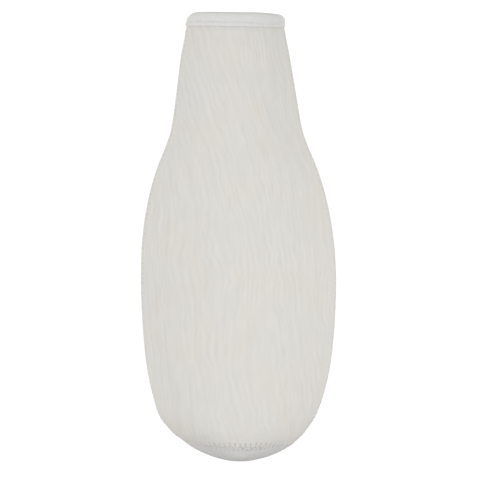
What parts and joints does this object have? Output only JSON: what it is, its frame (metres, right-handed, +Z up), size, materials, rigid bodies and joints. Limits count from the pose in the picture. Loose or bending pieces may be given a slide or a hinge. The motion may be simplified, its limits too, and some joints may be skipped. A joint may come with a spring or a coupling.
{
  "type": "bottle sleeve",
  "caption": "Soft insulating sleeve for a long-necked bottle, with a round base, a bound neck opening and a zipper down the back.",
  "frame": {"origin": "middle of the flat spot that the sleeve stands on, under the middle of its box", "axes": "+Z up along the sleeve to the neck, front towards -Y, zipper towards +Y"},
  "size_m": [0.088, 0.0466, 0.2],
  "materials": {
    "panel_cloth": "matte",
    "base_cloth": "matte",
    "binding_cloth": "matte",
    "zipper_tape": "matte",
    "zipper_coil": "satin",
    "zipper_metal": "satin",
    "thread": "satin"
  },
  "bodies": {
    "sleeve": {"front_panel": "panel_cloth", "back_panel_left": "panel_cloth", "back_panel_right": "panel_cloth", "base_panel": "base_cloth", "neck_binding": "binding_cloth", "zipper_tape_left": "zipper_tape", "zipper_tape_right": "zipper_tape", "zipper_coil_left": "zipper_coil", "zipper_coil_right": "zipper_coil", "zipper_top_stop_left": "zipper_metal", "zipper_top_stop_right": "zipper_metal", "zipper_bottom_stop": "zipper_metal", "side_seam_thread_left": "thread", "side_seam_thread_right": "thread", "base_seam_thread": "thread", "back_seam_thread": "thread", "binding_thread": "thread", "zipper_topstitch_left": "thread", "zipper_topstitch_right": "thread"},
    "slider": {"zipper_slider": "zipper_metal"},
    "pull_tab": {"zipper_pull_tab": "zipper_metal"}
  },
  "joints": [
    {"name": "zipper_slide", "type": "slide", "parent": "sleeve", "child": "slider", "axis": [0, 0.0743, -0.9972], "range_m": [0, 0.1475]},
    {"name": "pull_tab_swing", "type": "hinge", "parent": "slider", "child": "pull_tab", "pos_m": [0, 0.01028, 0.18424], "axis": [1, 0, 0], "range_deg": [0, 170]}
  ]
}
